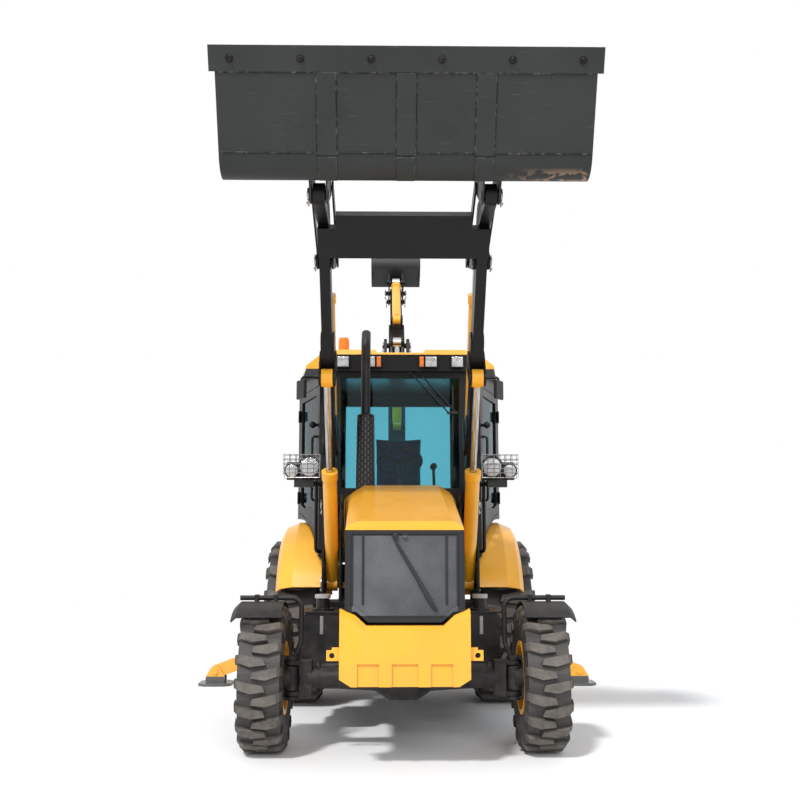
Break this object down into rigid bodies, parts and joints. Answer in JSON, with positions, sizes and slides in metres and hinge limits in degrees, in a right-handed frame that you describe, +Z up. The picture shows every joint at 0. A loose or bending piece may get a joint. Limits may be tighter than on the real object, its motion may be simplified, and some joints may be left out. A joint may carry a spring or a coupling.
{
  "type": "backhoe loader",
  "caption": "Wheeled backhoe loader with a cab, a raised front loader bucket, a rear digging arm and two side stabiliser legs.",
  "frame": {"origin": "on the ground under the middle of the machine's overall length and width", "axes": "+Z up, -Y towards the loader bucket, +Y towards the backhoe, X across the machine"},
  "size_m": [3.92, 7.1324, 5.4372],
  "materials": {
    "yellow_paint": "gloss, slightly worn",
    "black_paint": "satin",
    "bucket_paint": "worn matt, scuffed",
    "tyre_rubber": "dusty rubber",
    "cast": "painted casting",
    "chrome_rod": "polished",
    "window_glass": "tinted",
    "grille_plastic": "perforated",
    "seat_cloth": "woven",
    "lamp": "lenses in black cases",
    "exhaust_steel": "heat stained",
    "engine": "painted"
  },
  "bodies": {
    "chassis": {"chassis_frame": "black_paint", "loader_towers": "black_paint", "front_axle": "cast", "rear_axle": "cast", "counterweight": "yellow_paint", "engine_block": "engine", "exhaust_stack": "exhaust_steel", "cab_frame": "black_paint", "cab_roof": "yellow_paint", "cab_glass": "window_glass", "seat": "seat_cloth", "controls": "black_paint", "side_tanks": "black_paint", "cowl": "yellow_paint", "rear_fenders": "yellow_paint", "work_lamps": "lamp", "mirrors_and_rails": "black_paint", "rear_frame": "black_paint"},
    "hood": {"hood": "yellow_paint", "grille": "grille_plastic"},
    "door_left": {"door_left": "black_paint", "door_glass_left": "window_glass"},
    "door_right": {"door_right": "black_paint", "door_glass_right": "window_glass"},
    "knuckle_left": {"front_knuckle_left": "cast"},
    "knuckle_right": {"front_knuckle_right": "cast"},
    "loader_arms": {"loader_arms": "black_paint"},
    "loader_bucket": {"loader_bucket": "bucket_paint"},
    "tilt_levers": {"tilt_levers": "black_paint"},
    "tilt_links": {"tilt_links": "black_paint"},
    "tilt_barrels": {"tilt_barrels": "yellow_paint"},
    "tilt_rods": {"tilt_rods": "chrome_rod"},
    "lift_barrels": {"lift_barrels": "yellow_paint"},
    "lift_rods": {"lift_rods": "chrome_rod"},
    "kingpost": {"kingpost": "black_paint"},
    "boom": {"boom": "black_paint"},
    "dipper": {"dipper": "black_paint"},
    "hoe_bucket": {"hoe_bucket": "bucket_paint"},
    "hoe_rocker": {"hoe_rocker": "black_paint"},
    "hoe_link": {"hoe_link": "black_paint"},
    "boom_ram_barrel": {"boom_ram_barrel": "yellow_paint"},
    "boom_ram_rod": {"boom_ram_rod": "chrome_rod"},
    "dipper_ram_barrel": {"dipper_ram_barrel": "yellow_paint"},
    "dipper_ram_rod": {"dipper_ram_rod": "chrome_rod"},
    "bucket_ram_barrel": {"bucket_ram_barrel": "yellow_paint"},
    "bucket_ram_rod": {"bucket_ram_rod": "chrome_rod"},
    "wheel_front_left": {"tyre_front_left": "tyre_rubber", "rim_front_left": "yellow_paint"},
    "wheel_rear_left": {"tyre_rear_left": "tyre_rubber", "rim_rear_left": "yellow_paint"},
    "stabiliser_leg_left": {"stabiliser_leg_left": "yellow_paint"},
    "stabiliser_barrel_left": {"stabiliser_barrel_left": "yellow_paint"},
    "stabiliser_rod_left": {"stabiliser_rod_left": "chrome_rod"},
    "wheel_front_right": {"tyre_front_right": "tyre_rubber", "rim_front_right": "yellow_paint"},
    "wheel_rear_right": {"tyre_rear_right": "tyre_rubber", "rim_rear_right": "yellow_paint"},
    "stabiliser_leg_right": {"stabiliser_leg_right": "yellow_paint"},
    "stabiliser_barrel_right": {"stabiliser_barrel_right": "yellow_paint"},
    "stabiliser_rod_right": {"stabiliser_rod_right": "chrome_rod"}
  },
  "joints": [
    {"name": "wheel_front_left", "type": "hinge", "parent": "knuckle_left", "child": "wheel_front_left", "pos_m": [0.936, -2.11807, 0.4825], "axis": [-1, 0, 0], "continuous": true},
    {"name": "wheel_front_right", "type": "hinge", "parent": "knuckle_right", "child": "wheel_front_right", "pos_m": [-0.936, -2.11807, 0.4825], "axis": [-1, 0, 0], "continuous": true},
    {"name": "wheel_rear_left", "type": "hinge", "parent": "chassis", "child": "wheel_rear_left", "pos_m": [0.915, 0.08193, 0.705], "axis": [-1, 0, 0], "continuous": true},
    {"name": "wheel_rear_right", "type": "hinge", "parent": "chassis", "child": "wheel_rear_right", "pos_m": [-0.915, 0.08193, 0.705], "axis": [-1, 0, 0], "continuous": true},
    {"name": "steer_left", "type": "hinge", "parent": "chassis", "child": "knuckle_left", "pos_m": [0.76, -2.11807, 0.4825], "axis": [0, 0, 1], "range_deg": [-35, 35]},
    {"name": "steer_right", "type": "hinge", "parent": "chassis", "child": "knuckle_right", "pos_m": [-0.76, -2.11807, 0.4825], "axis": [0, 0, 1], "range_deg": [-35, 35]},
    {"name": "loader_lift", "type": "hinge", "parent": "chassis", "child": "loader_arms", "pos_m": [0, -0.91807, 1.7], "axis": [-1, 0, 0], "range_deg": [-74.2, 0]},
    {"name": "lift_barrel_turn", "type": "hinge", "parent": "chassis", "child": "lift_barrels", "pos_m": [0, -0.81807, 1.07], "axis": [-1, 0, 0], "range_deg": [-57.55, 0.57]},
    {"name": "lift_rod_slide", "type": "slide", "parent": "lift_barrels", "child": "lift_rods", "axis": [0, -0.5584, 0.8295], "range_m": [-0.627, 0.002]},
    {"name": "loader_bucket_tilt", "type": "hinge", "parent": "loader_arms", "child": "loader_bucket", "pos_m": [0, -2.91807, 3.63], "axis": [1, 0, 0], "range_deg": [-20, 105]},
    {"name": "tilt_lever_turn", "type": "hinge", "parent": "loader_arms", "child": "tilt_levers", "pos_m": [0, -2.21707, 3.388], "axis": [1, 0, 0], "range_deg": [-17.7, 90.48]},
    {"name": "tilt_link_turn", "type": "hinge", "parent": "tilt_levers", "child": "tilt_links", "pos_m": [0, -1.85007, 3.486], "axis": [1, 0, 0], "range_deg": [-77.81, 15.28]},
    {"name": "tilt_barrel_turn", "type": "hinge", "parent": "loader_arms", "child": "tilt_barrels", "pos_m": [0, -1.18207, 2.33], "axis": [1, 0, 0], "range_deg": [-2.18, 9.02]},
    {"name": "tilt_rod_slide", "type": "slide", "parent": "tilt_barrels", "child": "tilt_rods", "axis": [0, -0.5003, 0.8658], "range_m": [-0.0944, 0.4872]},
    {"name": "backhoe_swing", "type": "hinge", "parent": "chassis", "child": "kingpost", "pos_m": [0, 1.40193, 0.6], "axis": [0, 0, 1], "range_deg": [-90, 90]},
    {"name": "boom_lift", "type": "hinge", "parent": "kingpost", "child": "boom", "pos_m": [0, 1.63193, 0.85], "axis": [1, 0, 0], "range_deg": [-100, 5]},
    {"name": "boom_ram_turn", "type": "hinge", "parent": "kingpost", "child": "boom_ram_barrel", "pos_m": [0, 1.28193, 1.25], "axis": [1, 0, 0], "range_deg": [-91.84, 5.14]},
    {"name": "boom_ram_slide", "type": "slide", "parent": "boom_ram_barrel", "child": "boom_ram_rod", "axis": [0, 0.3483, 0.9374], "range_m": [-0.041, 0.7822]},
    {"name": "dipper_crowd", "type": "hinge", "parent": "boom", "child": "dipper", "pos_m": [0, 2.18193, 3.63], "axis": [-1, 0, 0], "range_deg": [-10, 95]},
    {"name": "dipper_ram_turn", "type": "hinge", "parent": "boom", "child": "dipper_ram_barrel", "pos_m": [0, 1.74584, 2.66235], "axis": [-1, 0, 0], "range_deg": [-2.42, 18.09]},
    {"name": "dipper_ram_slide", "type": "slide", "parent": "dipper_ram_barrel", "child": "dipper_ram_rod", "axis": [0, -0.0124, 0.9999], "range_m": [-0.061, 0.5622]},
    {"name": "hoe_bucket_curl", "type": "hinge", "parent": "dipper", "child": "hoe_bucket", "pos_m": [0, 3.48193, 4.57], "axis": [-1, 0, 0], "range_deg": [-5, 160]},
    {"name": "hoe_rocker_turn", "type": "hinge", "parent": "dipper", "child": "hoe_rocker", "pos_m": [0, 3.25503, 4.40594], "axis": [-1, 0, 0], "range_deg": [-3.43, 92.02]},
    {"name": "hoe_link_turn", "type": "hinge", "parent": "hoe_rocker", "child": "hoe_link", "pos_m": [0, 2.93456, 4.56993], "axis": [-1, 0, 0], "range_deg": [-51.66, 2.17]},
    {"name": "bucket_ram_turn", "type": "hinge", "parent": "dipper", "child": "bucket_ram_barrel", "pos_m": [0, 2.25561, 3.95476], "axis": [-1, 0, 0], "range_deg": [-0.85, 9.52]},
    {"name": "bucket_ram_slide", "type": "slide", "parent": "bucket_ram_barrel", "child": "bucket_ram_rod", "axis": [0, 0.7411, 0.6714], "range_m": [-0.0171, 0.4863]},
    {"name": "stabiliser_left", "type": "hinge", "parent": "chassis", "child": "stabiliser_leg_left", "pos_m": [0.42, 1.12193, 0.62], "axis": [0, 1, 0], "range_deg": [-72, 0]},
    {"name": "stabiliser_ram_turn_left", "type": "hinge", "parent": "chassis", "child": "stabiliser_barrel_left", "pos_m": [0.07, 1.12193, 1.3], "axis": [0, 1, 0], "range_deg": [-0.57, 2.92]},
    {"name": "stabiliser_ram_slide_left", "type": "slide", "parent": "stabiliser_barrel_left", "child": "stabiliser_rod_left", "axis": [0.7319, 0, -0.6815], "range_m": [-0.3625, 0.002]},
    {"name": "stabiliser_right", "type": "hinge", "parent": "chassis", "child": "stabiliser_leg_right", "pos_m": [-0.42, 1.12193, 0.62], "axis": [0, -1, 0], "range_deg": [-72, 0]},
    {"name": "stabiliser_ram_turn_right", "type": "hinge", "parent": "chassis", "child": "stabiliser_barrel_right", "pos_m": [-0.07, 1.12193, 1.3], "axis": [0, -1, 0], "range_deg": [-0.57, 2.92]},
    {"name": "stabiliser_ram_slide_right", "type": "slide", "parent": "stabiliser_barrel_right", "child": "stabiliser_rod_right", "axis": [-0.7319, 0, -0.6815], "range_m": [-0.3625, 0.002]},
    {"name": "door_left", "type": "hinge", "parent": "chassis", "child": "door_left", "pos_m": [0.92206, 0.10892, 2], "axis": [0, 0, 1], "range_deg": [0, 80]},
    {"name": "door_right", "type": "hinge", "parent": "chassis", "child": "door_right", "pos_m": [-0.92206, 0.10892, 2], "axis": [0, 0, -1], "range_deg": [0, 80]},
    {"name": "hood_tilt", "type": "hinge", "parent": "chassis", "child": "hood", "pos_m": [0, -1.45807, 1.84], "axis": [-1, 0, 0], "range_deg": [0, 45]}
  ],
  "couplings": [
    {"joint": "steer_right", "follows": "steer_left", "ratio": 1},
    {"joint": "lift_barrel_turn", "follows": "loader_lift", "ratio": 0.76796},
    {"joint": "lift_rod_slide", "follows": "loader_lift", "m_per_rad": 0.48263},
    {"joint": "tilt_lever_turn", "follows": "loader_bucket_tilt", "ratio": 0.85625},
    {"joint": "tilt_link_turn", "follows": "loader_bucket_tilt", "ratio": -0.73554},
    {"joint": "tilt_barrel_turn", "follows": "loader_bucket_tilt", "ratio": 0.08046},
    {"joint": "tilt_rod_slide", "follows": "loader_bucket_tilt", "m_per_rad": 0.26473},
    {"joint": "boom_ram_turn", "follows": "boom_lift", "ratio": 0.91268},
    {"joint": "boom_ram_slide", "follows": "boom_lift", "m_per_rad": -0.447},
    {"joint": "dipper_ram_turn", "follows": "dipper_crowd", "ratio": 0.18443},
    {"joint": "dipper_ram_slide", "follows": "dipper_crowd", "m_per_rad": 0.33785},
    {"joint": "hoe_rocker_turn", "follows": "hoe_bucket_curl", "ratio": 0.57157},
    {"joint": "hoe_link_turn", "follows": "hoe_bucket_curl", "ratio": -0.31927},
    {"joint": "bucket_ram_turn", "follows": "hoe_bucket_curl", "ratio": 0.05595},
    {"joint": "bucket_ram_slide", "follows": "hoe_bucket_curl", "m_per_rad": 0.17341},
    {"joint": "stabiliser_ram_turn_left", "follows": "stabiliser_left", "ratio": -0.03262},
    {"joint": "stabiliser_ram_slide_left", "follows": "stabiliser_left", "m_per_rad": 0.28688},
    {"joint": "stabiliser_ram_turn_right", "follows": "stabiliser_right", "ratio": -0.03262},
    {"joint": "stabiliser_ram_slide_right", "follows": "stabiliser_right", "m_per_rad": 0.28688}
  ]
}
